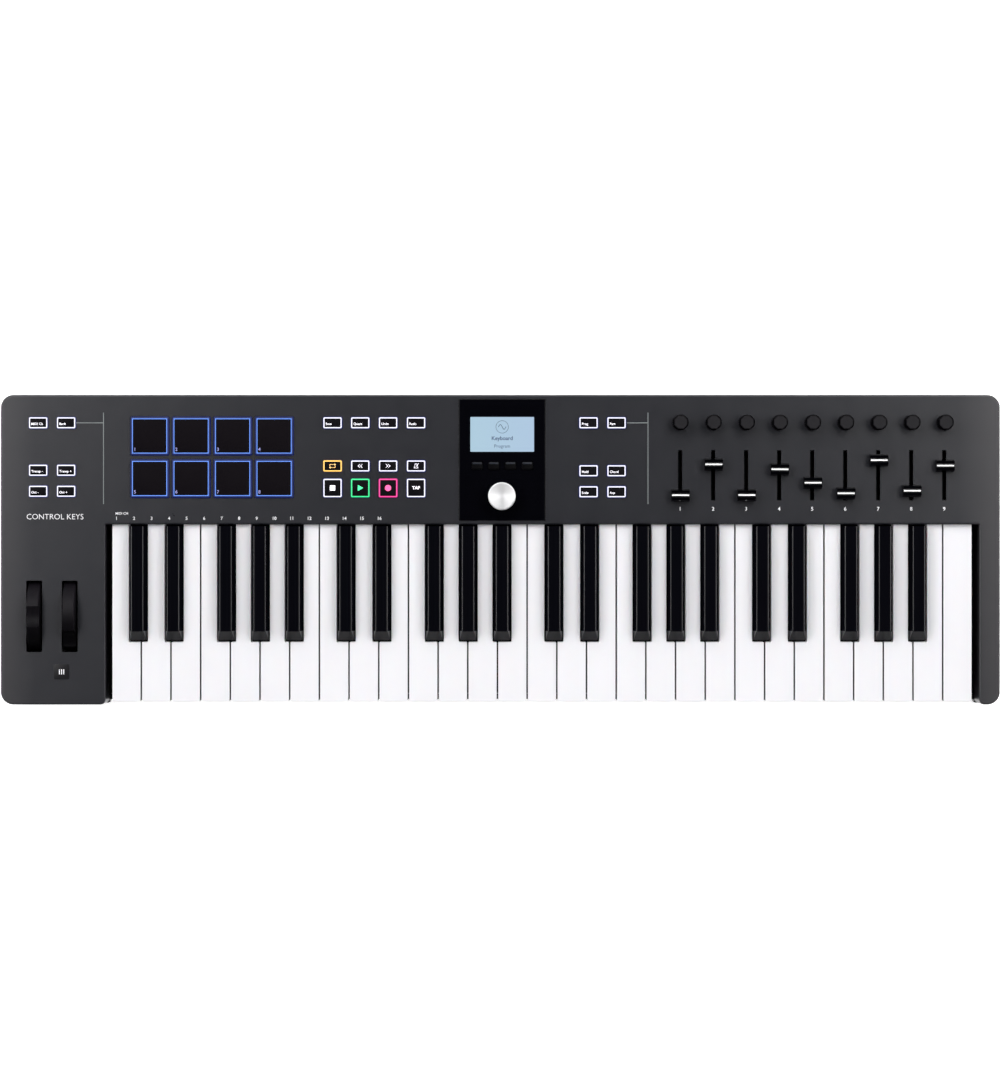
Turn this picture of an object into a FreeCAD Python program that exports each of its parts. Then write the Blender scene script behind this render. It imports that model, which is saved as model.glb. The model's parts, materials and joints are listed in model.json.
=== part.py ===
import FreeCAD, Part
import math
import os

# Forty-nine-note keyboard controller with pads, knobs, faders and a display.
# Frame: millimetres, origin at the centre of the footprint on the table,
# +X to the player's right, +Y to the rear, +Z up.

V = FreeCAD.Vector

# ---------------------------------------------------------------- casing
CASE_W = 790.0
CASE_D = 245.0
CASE_CORNER_R = 10.0
WALL = 2.5
FOOT_H = 3.0
SEAM_Z = 16.0
PANEL_Z = 52.0
PANEL_UNDER_Z = PANEL_Z - WALL
FLOOR_Z = FOOT_H + WALL
CHEEK_CORNER_R = 4.0
TOP_EDGE_R = 1.5
BOTTOM_EDGE_R = 1.2
RAIL_FRONT_Y = -119.6
RAIL_NOSE_R = 1.4
SLIP_FRONT_Y = -117.5
SLIP_TOP_Z = 23.0
CASE_L, CASE_R = -CASE_W / 2, CASE_W / 2
CASE_FRONT, CASE_REAR = -CASE_D / 2, CASE_D / 2

# ---------------------------------------------------------------- keyboard
KEY_PITCH = 23.5
WHITE_COUNT = 29
KEYS_X0 = -307.8
KEYS_X1 = KEYS_X0 + KEY_PITCH * WHITE_COUNT
OCTAVE_W = KEY_PITCH * 7
OCTAVES = 4
KEY_GAP = 1.0
BED_L, BED_R = -312.2, 378.6
PANEL_FRONT_Y = 20.0
WHITE_FRONT_Y = -120.3
WHITE_TOP_Z = 47.0
WHITE_LIP_Z = 27.5
KEY_SIDE_Z = 33.0
KEY_BODY_REAR_Y = 24.0
KEY_TAIL_Y = 56.0
TAIL_Z0, TAIL_Z1 = 30.5, 34.5
BLACK_W, BLACK_TOP_W = 13.2, 9.6
BLACK_FRONT_Y, BLACK_TOP_FRONT_Y = -71.7, -64.4
BLACK_REAR_Y = 18.5
BLACK_TOP_Z = 58.5
CUT_W = 15.0
CUT_FRONT_Y = -73.0
HINGE_Y, HINGE_Z = 48.0, 28.0
HINGE_R = 2.0
HINGE_FIT = 0.06
PLUNGER_Z = 22.6

# white key number in the octave, and black key centre from the octave's left
WHITE_NOTES = {"keys_c": 0, "keys_d": 1, "keys_e": 2, "keys_f": 3,
               "keys_g": 4, "keys_a": 5, "keys_b": 6}
BLACK_NOTES = {"keys_c_sharp": 21.2, "keys_d_sharp": 49.5, "keys_f_sharp": 91.0,
               "keys_g_sharp": 117.8, "keys_a_sharp": 144.6}

# ---------------------------------------------------------------- wheels
# x of each wheel, and the angle of its finger notch at rest
WHEELS = {"pitch_wheel": (-368.5, 0.0), "modulation_wheel": (-340.4, -40.5)}
WHEEL_Y = -52.7
WHEEL_AXIS_Z = 37.6
WHEEL_R = 28.0
WHEEL_W = 9.8
WHEEL_RIM_R = 1.2
WHEEL_FLAT = 14.0
WHEEL_SLOT = (12.6, 56.5)
WHEEL_NOTCH = 16.7
NOTCH_R = 12.0
HUB_R = 8.0
AXLE_R = 3.0
AXLE_FIT = 0.05
EAR_IN, EAR_OUT = 7.5, 10.0

# ---------------------------------------------------------------- panel controls
PAD_X = [-277.1, -244.3, -211.5, -178.7]
PAD_Y = [89.9, 56.3]
PAD = 30.4
PAD_TOP_Z = 53.8
BUTTON = (15.1, 9.3)
SQUARE_BUTTON = (15.1, 15.1)
SCREEN_BUTTON = (8.7, 6.2)
BUTTON_TOP_Z = 53.4
PANEL_GAP = 0.3
LEFT_X = [-365.2, -343.1]
LEFT_Y = [100.3, 62.8, 46.2]
MID_X = [-132.6, -110.7, -88.7, -66.6]
MID_Y = 100.3
LOOP_Y, PLAY_Y = 66.2, 48.8
RIGHT_X = [69.7, 91.8]
RIGHT_Y = [100.3, 62.4, 45.8]
DISPLAY_X = 1.45
SCREEN_X = [DISPLAY_X + step for step in (-19.8, -6.6, 6.6, 19.8)]
SCREEN_Y = 66.4
BEZEL = (68.4, 23.1, 119.1)
BEZEL_Z0, BEZEL_Z1 = 50.6, 52.6
LCD = (50.6, 27.7)
LCD_Y = 91.2
MAIN_X, MAIN_Y = 1.2, 42.2
MAIN_R = 10.9
KNOB_TOP_Z = 66.0
STRIP_X = [142.1 + 26.09 * i for i in range(9)]
KNOB_Y = 100.4
KNOB_R = 6.1
KNOB_SIDES = 8
KNOB_CROWN_R = 5.2
KNOB_CROWN_Z = 64.6
SHAFT_R = 3.0
SHAFT_FIT = 0.05
FADER_Y = 58.9
FADER_SLOT = (2.9, 39.4)
FADER_CAP = (14.4, 9.6)
FADER_SET = [-15.9, 8.4, -15.8, 4.5, -6.1, -14.4, 11.7, -12.4, 7.4]

# ---------------------------------------------------------------- inside
BOSS_R, BOARD_BOSS_R, PILLAR_R = 3.6, 3.0, 4.5
BOARD_Z0, BOARD_Z1 = 38.4, 40.0
BOARD_T = BOARD_Z1 - BOARD_Z0
SWITCH_HALF, SWITCH_TOP_Z = 3.0, 41.8
# x limits of each panel board, and the buttons whose switches it carries
PANEL_BOARDS = [(-380.0, -327.0, ["left_buttons"]),
                (-308.0, -45.0, ["command_buttons", "transport_buttons"]),
                (-42.0, 48.0, ["screen_buttons"]),
                (52.0, 384.0, ["right_buttons"])]
PANEL_BOARD_Y = (33.0, 108.0)
FLANGE_Z0, FLANGE_Z1 = 46.0, 48.0
PAD_BOARD_Z1 = 44.8
PAD_BOARD_STANDS = (-228.0, -160.0)
CHASSIS_Z0, CHASSIS_Z1 = 12.0, 14.5
STRIP_Z1 = 16.1
DOME_TOP_Z = 19.1
SOCKET_BOARD_Z0 = 18.0
SOCKET_Z = 30.0
SOCKET_TOP_Z = 38.0
SOCKET_BOARD_Y = (82.0, 119.0)
USB_X, MIDI_X, JACK_X = -180.0, -150.0, -118.0
USB_Z = 21.3
MIDI_PIN_ANGLES = (-90, -45, 0, 45, 90)
JACK_R, MIDI_R = 3.25, 6.7
CASE_SCREWS = [(-384, -112), (-322, -112), (-384, 113), (387, -112),
               (387, 112), (-215, 113), (50, 113), (262, 113.5)]
CHASSIS_SCREWS = [(-290, -100), (30, -100), (360, -100), (-290, 56), (30, 56), (360, 56)]
BOARD_SCREWS = [(-372, 82), (-334, 82), (-301, 104), (-150, 70),
                (-52, 82), (58, 82), (108, 82), (376, 82)]
SCREW_R, PILOT_R, CLEAR_R = 1.25, 1.3, 1.6
SCREW_HEAD_R, SCREW_HEAD_H = 2.8, 1.8
FOOT_SPOTS = [(-365, -98), (-365, 98), (365, -98), (365, 98)]
FOOT_R = 9.0


# ---------------------------------------------------------------- helpers
def box(x0, x1, y0, y1, z0, z1):
    return Part.makeBox(x1 - x0, y1 - y0, z1 - z0, V(x0, y0, z0))


def post(x, y, r, z0, z1):
    return Part.makeCylinder(r, z1 - z0, V(x, y, z0))


def bar_x(x0, x1, y, z, r):
    return Part.makeCylinder(r, x1 - x0, V(x0, y, z), V(1, 0, 0))


def bar_y(x, y0, y1, z, r):
    return Part.makeCylinder(r, y1 - y0, V(x, y0, z), V(0, 1, 0))


def rounded_face(corners, z):
    """A flat face from (x, y, corner radius) points, each corner an arc."""
    edges, ends = [], []
    count = len(corners)
    for i, (x, y, r) in enumerate(corners):
        here = V(x, y, z)
        to_last = (V(*corners[i - 1][:2], z) - here).normalize()
        to_next = (V(*corners[(i + 1) % count][:2], z) - here).normalize()
        if r <= 0:
            ends.append((here, here))
            continue
        half = to_last.getAngle(to_next) / 2
        middle = (to_last + to_next).normalize()
        start = here + to_last * (r / math.tan(half))
        end = here + to_next * (r / math.tan(half))
        top = here + middle * (r / math.sin(half) - r)
        edges.append((i, Part.Arc(start, top, end).toShape()))
        ends.append((start, end))
    arcs = dict(edges)
    outline = []
    for i in range(count):
        if i in arcs:
            outline.append(arcs[i])
        outline.append(Part.LineSegment(ends[i][1], ends[(i + 1) % count][0]).toShape())
    return Part.Face(Part.Wire(Part.__sortEdges__(outline)))


def prism(corners, z0, z1):
    return rounded_face(corners, z0).extrude(V(0, 0, z1 - z0))


def plate(x, y, w, d, r, z0, z1):
    """A rectangular block centred on x, y with upright corners of radius r."""
    x0, x1, y0, y1 = x - w / 2, x + w / 2, y - d / 2, y + d / 2
    return prism([(x0, y0, r), (x1, y0, r), (x1, y1, r), (x0, y1, r)], z0, z1)


def side_profile(points, x0, x1):
    """A solid from (y, z) points, swept along X."""
    wire = Part.makePolygon([V(x0, y, z) for y, z in points + points[:1]])
    return Part.Face(wire).extrude(V(x1 - x0, 0, 0))


def edges_at(shape, z):
    """Every edge that lies flat at height z."""
    return [e for e in shape.Edges
            if abs(e.BoundBox.ZMin - z) < 1e-4 and abs(e.BoundBox.ZMax - z) < 1e-4]


def soften(shape, z, r):
    return shape.makeFillet(r, edges_at(shape, z))


def join(shapes):
    """One solid from touching or overlapping shapes."""
    whole = shapes[0].fuse(shapes[1:]).removeSplitter()
    if len(whole.Solids) != 1:
        raise ValueError("join left %d solids" % len(whole.Solids))
    return whole.Solids[0]


def only_solid(shape):
    if len(shape.Solids) != 1:
        raise ValueError("expected one solid, found %d" % len(shape.Solids))
    return shape.Solids[0]


def save(name, shapes):
    """Write one node: a single solid, or a group of separate solids."""
    solids = [s for shape in shapes for s in shape.Solids]
    for solid in solids:
        if not solid.isValid():
            raise ValueError("invalid solid in " + name)
    whole = solids[0] if len(solids) == 1 else Part.makeCompound(solids)
    whole.exportStep(os.path.join("parts", name + ".step"))
    print("%-20s %3d solids %10.0f mm3" % (name, len(solids), sum(s.Volume for s in solids)))


# ---------------------------------------------------------------- casing
def case_outline(bed_y, cheek_r, inset):
    """The U-shaped plan of the casing; inset moves every wall inwards."""
    left, right = CASE_L + inset, CASE_R - inset
    front, rear = CASE_FRONT + inset, CASE_REAR - inset
    outer, cheek, bed = CASE_CORNER_R - inset, cheek_r - inset, 1.0 + inset
    bed_l, bed_r, bed_rear = BED_L - inset, BED_R + inset, bed_y + inset
    return [(left, front, outer), (bed_l, front, cheek), (bed_l, bed_rear, bed),
            (bed_r, bed_rear, bed), (bed_r, front, cheek), (right, front, outer),
            (right, rear, outer), (left, rear, outer)]


def button_spots():
    """Name of each button group, with (x, y, size) for every button in it."""
    return {
        "left_buttons": [(x, y, BUTTON) for y in LEFT_Y for x in LEFT_X],
        "command_buttons": [(x, MID_Y, BUTTON) for x in MID_X],
        "transport_buttons": [(x, LOOP_Y, BUTTON) for x in MID_X]
        + [(x, PLAY_Y, SQUARE_BUTTON) for x in MID_X],
        "right_buttons": [(x, y, BUTTON) for y in RIGHT_Y for x in RIGHT_X],
        "screen_buttons": [(x, SCREEN_Y, SCREEN_BUTTON) for x in SCREEN_X],
    }


def panel_openings():
    low, high = PANEL_UNDER_Z - 1, PANEL_Z + 1
    gap = 2 * PANEL_GAP
    cuts = [plate(x, WHEEL_Y, *WHEEL_SLOT, 1.0, low, high) for x, _ in WHEELS.values()]
    cuts += [plate(x, y, PAD + gap, PAD + gap, 1.5, low, high) for x in PAD_X for y in PAD_Y]
    for spots in button_spots().values():
        cuts += [plate(x, y, w + gap, d + gap, 1.6, low, high) for x, y, (w, d) in spots]
    cuts += [post(x, KNOB_Y, SHAFT_R + 0.8, low, high) for x in STRIP_X]
    cuts += [plate(x, FADER_Y, *FADER_SLOT, FADER_SLOT[0] / 2 - 0.01, low, high) for x in STRIP_X]
    width, y0, y1 = BEZEL
    cuts.append(plate(DISPLAY_X, (y0 + y1) / 2, width + gap, y1 - y0 + gap, 0.8, BEZEL_Z0, high))
    cuts.append(plate(DISPLAY_X, LCD_Y, LCD[0] + 6, LCD[1] + 6, 1.0, low, high))
    cuts.append(post(MAIN_X, MAIN_Y, SHAFT_R + 2, low, high))
    return cuts


def socket_openings():
    y0, y1 = CASE_REAR - WALL - 1, CASE_REAR + 1
    usb = box(USB_X - 4.8, USB_X + 4.8, y0, y1, USB_Z - 1.8, USB_Z + 1.8)
    return [usb, bar_y(MIDI_X, y0, y1, SOCKET_Z, MIDI_R + 1.4), bar_y(JACK_X, y0, y1, SOCKET_Z, 6.0)]


def top_casing():
    """Panel, side cheeks and rear wall in one shell, open at the front for the keys."""
    shell = prism(case_outline(PANEL_FRONT_Y, CHEEK_CORNER_R, 0), SEAM_Z, PANEL_Z)
    shell = soften(shell, PANEL_Z, TOP_EDGE_R)
    hollow = prism(case_outline(PANEL_FRONT_Y, CHEEK_CORNER_R, WALL), SEAM_Z - 1, PANEL_UNDER_Z)
    key_way = box(BED_L, BED_R, PANEL_FRONT_Y - 1, PANEL_FRONT_Y + WALL + 1, SEAM_Z - 1, 48.2)
    shell = shell.cut([hollow, key_way])
    bosses = [post(x, y, BOSS_R, SEAM_Z + 2, PANEL_UNDER_Z + 0.5) for x, y in CASE_SCREWS]
    bosses += [post(x, y, BOARD_BOSS_R, BOARD_Z1, PANEL_UNDER_Z + 0.5) for x, y in BOARD_SCREWS]
    shell = join([shell] + bosses)
    pilots = [post(x, y, PILOT_R, SEAM_Z + 1, 32) for x, y in CASE_SCREWS]
    pilots += [post(x, y, PILOT_R, BOARD_Z1 - 1, 47) for x, y in BOARD_SCREWS]
    return only_solid(shell.cut(pilots + panel_openings() + socket_openings()))


def wheel_cradle(x):
    """Two upright ears with a bore each, for one wheel's axle."""
    ears = []
    for side in (-1, 1):
        x0, x1 = sorted((x + side * EAR_IN, x + side * EAR_OUT))
        ears.append(box(x0, x1, WHEEL_Y - 7, WHEEL_Y + 7, FLOOR_Z - 0.5, WHEEL_AXIS_Z))
        ears.append(bar_x(x0, x1, WHEEL_Y, WHEEL_AXIS_Z, 7))
    return ears


def bottom_casing():
    """Tray with the floor, low walls, key slip, screw pillars and the two wheel cradles."""
    outline = case_outline(RAIL_FRONT_Y, RAIL_NOSE_R, 0)
    tray = soften(prism(outline, FOOT_H, SEAM_Z), FOOT_H, BOTTOM_EDGE_R)
    inner = plate(0, (RAIL_FRONT_Y + CASE_REAR) / 2, CASE_W - 2 * WALL,
                  CASE_REAR - RAIL_FRONT_Y - 2 * WALL, CASE_CORNER_R - WALL, FLOOR_Z, SEAM_Z + 1)
    tray = tray.cut(inner)
    root_z = FLOOR_Z - 0.5
    fittings = [post(x, y, BOSS_R, root_z, SEAM_Z + 2) for x, y in CASE_SCREWS]
    fittings.append(box(BED_L + 1, BED_R - 1, SLIP_FRONT_Y, SLIP_FRONT_Y + WALL, root_z, SLIP_TOP_Z))
    fittings += [post(x, y, PILLAR_R, root_z, CHASSIS_Z0) for x, y in CHASSIS_SCREWS]
    fittings += [post(x, 88, BOARD_BOSS_R, root_z, SOCKET_BOARD_Z0)
                 for x in (USB_X - 8, JACK_X + 8)]
    for x, _ in WHEELS.values():
        fittings += wheel_cradle(x)
    tray = join([tray] + fittings)
    bores = [bar_x(x - EAR_OUT - 1, x + EAR_OUT + 1, WHEEL_Y, WHEEL_AXIS_Z, AXLE_R + AXLE_FIT)
             for x, _ in WHEELS.values()]
    for x, y in CASE_SCREWS + CHASSIS_SCREWS:
        bores.append(post(x, y, CLEAR_R, FOOT_H - 1, SEAM_Z + 3))
        bores.append(post(x, y, 3.1, FOOT_H - 1, FOOT_H + 2.0))
    return only_solid(tray.cut(bores))


# ---------------------------------------------------------------- keys
def clip(x, width):
    """The half-round clip that grips the hinge bead, open downwards."""
    x0, x1 = x - width / 2, x + width / 2
    block = box(x0, x1, HINGE_Y - 4.5, HINGE_Y + 4.5, HINGE_Z - 1.0, TAIL_Z1)
    return block, bar_x(x0 - 1, x1 + 1, HINGE_Y, HINGE_Z, HINGE_R + HINGE_FIT)


def tail_parts(x0, x1):
    """Plunger, tail and hinge clip under the panel, for a tail between x0 and x1."""
    x = (x0 + x1) / 2
    block, bore = clip(x, min(8.0, x1 - x0 - 1))
    tail = box(x0 + 0.3, x1 - 0.3, 14, KEY_TAIL_Y, TAIL_Z0, TAIL_Z1)
    plunger = box(x - 1.6, x + 1.6, -2, 2, PLUNGER_Z, WHITE_TOP_Z - 1.5)
    throat = box(x0, x1, HINGE_Y - HINGE_R - HINGE_FIT, HINGE_Y + HINGE_R + HINGE_FIT,
                 HINGE_Z - 3, HINGE_Z)
    return [tail, block, plunger], [bore, throat]


def white_key(x0, tail_x0, tail_x1):
    """A white key at x0, whose narrow part lies between the two tail limits."""
    left, right = x0 + KEY_GAP / 2, x0 + KEY_PITCH - KEY_GAP / 2

    def plan(inset):
        nose, notch = max(1.4 - inset, 0.2), 0.7
        rear = KEY_BODY_REAR_Y - inset
        corners = [(left + inset, WHITE_FRONT_Y + inset, nose),
                   (right - inset, WHITE_FRONT_Y + inset, nose)]
        if tail_x1 < right:
            corners += [(right - inset, CUT_FRONT_Y - inset, notch),
                        (tail_x1 - inset, CUT_FRONT_Y - inset, notch)]
        corners += [(tail_x1 - inset, rear, 0), (tail_x0 + inset, rear, 0)]
        if tail_x0 > left:
            corners += [(tail_x0 + inset, CUT_FRONT_Y - inset, notch),
                        (left + inset, CUT_FRONT_Y - inset, notch)]
        return corners

    body = soften(prism(plan(0), KEY_SIDE_Z, WHITE_TOP_Z), WHITE_TOP_Z, 0.4)
    body = body.cut(prism(plan(1.4), KEY_SIDE_Z - 1, WHITE_TOP_Z - 2.5))
    lip = prism([(left, WHITE_FRONT_Y, 1.4), (right, WHITE_FRONT_Y, 1.4),
                 (right, WHITE_FRONT_Y + 1.8, 0), (left, WHITE_FRONT_Y + 1.8, 0)],
                WHITE_LIP_Z, KEY_SIDE_Z + 1)
    solids, holes = tail_parts(tail_x0, tail_x1)
    return only_solid(join([body, lip] + solids).cut(holes))


def black_key(x):
    """A black key centred on x: sloping front and sides over a plain base."""
    half, top_half = BLACK_W / 2, BLACK_TOP_W / 2
    shoulder_z = WHITE_TOP_Z + 0.6

    def ring(half_w, front_y, z):
        return Part.makePolygon([V(x - half_w, front_y, z), V(x + half_w, front_y, z),
                                 V(x + half_w, BLACK_REAR_Y, z), V(x - half_w, BLACK_REAR_Y, z),
                                 V(x - half_w, front_y, z)])

    base = Part.Face(ring(half, BLACK_FRONT_Y, KEY_SIDE_Z)).extrude(V(0, 0, shoulder_z - KEY_SIDE_Z))
    crown = Part.makeLoft([ring(half, BLACK_FRONT_Y, shoulder_z),
                           ring(top_half, BLACK_TOP_FRONT_Y, BLACK_TOP_Z)], True, True)
    body = join([base, crown])
    rims = [e for e in body.Edges if e.BoundBox.ZMax > BLACK_TOP_Z - 1e-4
            and e.BoundBox.ZMin > shoulder_z - 1e-3 and e.BoundBox.YMin < BLACK_REAR_Y - 1]
    body = body.makeFillet(0.8, rims)
    hollow = box(x - half + 1.4, x + half - 1.4, BLACK_FRONT_Y + 1.4, BLACK_REAR_Y - 1.4,
                 KEY_SIDE_Z - 1, WHITE_TOP_Z - 2)
    bridge = box(x - half + 0.8, x + half - 0.8, 14, KEY_BODY_REAR_Y, TAIL_Z0, 40)
    solids, holes = tail_parts(x - half, x + half)
    return only_solid(join([body.cut(hollow), bridge] + solids).cut(holes))


def white_tail(note_x, index):
    """Left and right limits of the narrow part of a white key in an octave."""
    left, right = note_x + KEY_GAP / 2, note_x + KEY_PITCH - KEY_GAP / 2
    octave_x = note_x - index * KEY_PITCH
    for centre in BLACK_NOTES.values():
        cut0, cut1 = octave_x + centre - CUT_W / 2, octave_x + centre + CUT_W / 2
        if cut0 < left < cut1:
            left = cut1
        if cut0 < right < cut1:
            right = cut0
    return left, right


def key_group(name):
    """All the keys of one note, one in each octave, and the top C."""
    keys = []
    if name in BLACK_NOTES:
        first = black_key(KEYS_X0 + BLACK_NOTES[name])
    else:
        note_x = KEYS_X0 + WHITE_NOTES[name] * KEY_PITCH
        first = white_key(note_x, *white_tail(note_x, WHITE_NOTES[name]))
    for octave in range(OCTAVES):
        keys.append(first.translated(V(octave * OCTAVE_W, 0, 0)))
    if name == "keys_c":
        top_x = KEYS_X0 + OCTAVES * OCTAVE_W
        keys.append(white_key(top_x, top_x + KEY_GAP / 2, top_x + KEY_PITCH - KEY_GAP / 2))
    return keys


def key_centres():
    """X of every key's tail, white and black, along the whole keyboard."""
    centres = []
    for octave in range(OCTAVES):
        octave_x = KEYS_X0 + octave * OCTAVE_W
        centres += [octave_x + centre for centre in BLACK_NOTES.values()]
        for index in WHITE_NOTES.values():
            centres.append(sum(white_tail(octave_x + index * KEY_PITCH, index)) / 2)
    centres.append(KEYS_X0 + OCTAVES * OCTAVE_W + KEY_PITCH / 2)
    return sorted(centres)


def keybed_chassis():
    """Moulded frame: floor plate, guide post under each white key, hinge blade and bead."""
    x0, x1 = KEYS_X0 - 1, KEYS_X1 + 2
    parts = [box(x0, x1, -114, 62, CHASSIS_Z0, CHASSIS_Z1)]
    for i in range(WHITE_COUNT):
        x = KEYS_X0 + KEY_PITCH * (i + 0.5)
        parts.append(box(x - 3, x + 3, -108, -98, CHASSIS_Z1 - 0.5, 33.5))
    parts.append(box(x0, x1, HINGE_Y - 1, HINGE_Y + 1, CHASSIS_Z1 - 0.5, HINGE_Z))
    parts.append(bar_x(x0, x1, HINGE_Y, HINGE_Z, HINGE_R))
    frame = join(parts)
    return only_solid(frame.cut([post(x, y, PILOT_R, CHASSIS_Z0 - 1, CHASSIS_Z1 + 1)
                                 for x, y in CHASSIS_SCREWS]))


def contact_strip():
    """Long contact board with a rubber dome under every key."""
    board = box(KEYS_X0, KEYS_X1, -9, 9, CHASSIS_Z1, STRIP_Z1)
    domes = [Part.makeCone(3.6, 2.6, DOME_TOP_Z - STRIP_Z1 + 0.2, V(x, 0, STRIP_Z1 - 0.2))
             for x in key_centres()]
    return join([board] + domes)


def leaf_spring(x):
    """Bowed leaf spring between the chassis and the underside of a key's tail."""
    half_w, thick = 2.0, 0.4
    foot, head = V(x - half_w, 24, CHASSIS_Z1), V(x - half_w, 41, TAIL_Z0 - 0.8)
    bow = V(x - half_w, 27.5, 23.5)
    out = Part.Arc(foot, bow, head).toShape()
    back = Part.Arc(foot + V(0, thick, 0), bow + V(0, thick, -thick), head + V(0, 0, -thick)).toShape()
    ends = [Part.LineSegment(foot, foot + V(0, thick, 0)).toShape(),
            Part.LineSegment(head, head + V(0, 0, -thick)).toShape()]
    wire = Part.Wire(Part.__sortEdges__([out, back] + ends))
    return Part.Face(wire).extrude(V(2 * half_w, 0, 0))


def wheel_spring():
    """Centring spring of the pitch wheel: a loop round the axle with two legs to the floor."""
    x0 = WHEELS["pitch_wheel"][0] + WHEEL_W / 2 + 0.7
    x1 = x0 + 1.2
    loop = bar_x(x0, x1, WHEEL_Y, WHEEL_AXIS_Z, 5.0)
    legs = [box(x0, x1, WHEEL_Y + side * 4.4 - 0.5, WHEEL_Y + side * 4.4 + 0.5, FLOOR_Z, WHEEL_AXIS_Z)
            for side in (-1, 1)]
    return only_solid(join([loop] + legs).cut(bar_x(x0 - 1, x1 + 1, WHEEL_Y, WHEEL_AXIS_Z, 3.9)))


# ---------------------------------------------------------------- wheels
def wheel(name):
    """Wheel with a finger notch and a flat below, turning on an axle of its own."""
    x, set_deg = WHEELS[name]
    x0, x1 = x - WHEEL_W / 2, x + WHEEL_W / 2
    disc = bar_x(x0, x1, WHEEL_Y, WHEEL_AXIS_Z, WHEEL_R)
    rim = [e for e in disc.Edges if abs(e.Length - 2 * math.pi * WHEEL_R) < 1e-3]
    disc = disc.makeFillet(WHEEL_RIM_R, rim)
    disc = disc.cut(box(x0 - 1, x1 + 1, WHEEL_Y - WHEEL_R - 1, WHEEL_Y + WHEEL_R + 1,
                        WHEEL_AXIS_Z - WHEEL_R - 1, WHEEL_AXIS_Z - WHEEL_FLAT))
    hub = bar_x(x0 - 0.6, x1 + 0.6, WHEEL_Y, WHEEL_AXIS_Z, HUB_R)
    axle = bar_x(x - EAR_OUT - 0.9, x + EAR_OUT + 0.9, WHEEL_Y, WHEEL_AXIS_Z, AXLE_R)
    half = WHEEL_NOTCH / 2
    notch_z = WHEEL_AXIS_Z + math.sqrt(WHEEL_R ** 2 - half ** 2) + math.sqrt(NOTCH_R ** 2 - half ** 2)
    whole = join([disc, hub, axle]).cut(bar_x(x0 - 1, x1 + 1, WHEEL_Y, notch_z, NOTCH_R))
    whole.rotate(V(x, WHEEL_Y, WHEEL_AXIS_Z), V(1, 0, 0), -set_deg)
    return only_solid(whole)


# ---------------------------------------------------------------- pads, buttons, knobs, faders
def pad(x, y):
    top = soften(plate(x, y, PAD, PAD, 1.4, FLANGE_Z1, PAD_TOP_Z), PAD_TOP_Z, 0.8)
    return join([top, plate(x, y, PAD + 1.8, PAD + 1.8, 1.4, FLANGE_Z0, FLANGE_Z1 + 0.4)])


def button(x, y, size):
    """Silicone button: cap through the panel, flange under it and a stalk to its switch."""
    w, d = size
    cap = soften(plate(x, y, w, d, 1.3, FLANGE_Z1, BUTTON_TOP_Z), BUTTON_TOP_Z, 0.7)
    flange = plate(x, y, w + 1.6, d + 1.6, 1.3, FLANGE_Z0, FLANGE_Z1)
    return join([cap, flange, post(x, y, 1.8, SWITCH_TOP_Z + 1.8, FLANGE_Z0)])


def polygon(x, y, z, flat_r, sides):
    """A regular outline whose sides are flat_r from its centre."""
    corner_r = flat_r / math.cos(math.pi / sides)
    angles = [math.pi * (2 * i + 1) / sides for i in range(sides + 1)]
    return Part.makePolygon([V(x + corner_r * math.cos(a), y + corner_r * math.sin(a), z)
                             for a in angles])


def knob(x):
    """Endless knob: grooved barrel, eight-sided crown and a shaft below."""
    z0 = PANEL_Z + 0.6
    crown = Part.makeLoft([polygon(x, KNOB_Y, KNOB_CROWN_Z, KNOB_R, KNOB_SIDES),
                           polygon(x, KNOB_Y, KNOB_TOP_Z, KNOB_CROWN_R, KNOB_SIDES)], True, True)
    crown = crown.common(post(x, KNOB_Y, KNOB_R, KNOB_CROWN_Z, KNOB_TOP_Z))
    barrel = post(x, KNOB_Y, KNOB_R, z0, KNOB_CROWN_Z)
    grooves = []
    for i in range(3 * KNOB_SIDES):
        angle = 2 * math.pi * i / (3 * KNOB_SIDES)
        grooves.append(post(x + KNOB_R * math.cos(angle), KNOB_Y + KNOB_R * math.sin(angle),
                            0.35, z0 + 1, KNOB_CROWN_Z - 0.8))
    body = join([barrel, crown]).cut(grooves)
    return join([body, post(x, KNOB_Y, SHAFT_R, BOARD_Z1 + 2.5, PANEL_Z + 1)])


def main_shaft():
    """Push shaft of the main encoder, with a collar that presses its switch."""
    shaft = post(MAIN_X, MAIN_Y, SHAFT_R, BOARD_Z1 + 2.5, 60.0)
    return join([shaft, post(MAIN_X, MAIN_Y, SHAFT_R + 1.2, BOARD_Z1 + 2.5, BOARD_Z1 + 3.5)])


def main_knob():
    """Turned aluminium knob with a dished top, free to turn on the push shaft."""
    body = post(MAIN_X, MAIN_Y, MAIN_R, BEZEL_Z1 + 1.4, KNOB_TOP_Z)
    body = soften(body, KNOB_TOP_Z, 0.9)
    dish = Part.makeSphere(120, V(MAIN_X, MAIN_Y, KNOB_TOP_Z + 119.6))
    bore = post(MAIN_X, MAIN_Y, SHAFT_R + SHAFT_FIT, BEZEL_Z1, 60.3)
    return only_solid(body.cut([dish, bore]))


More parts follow.
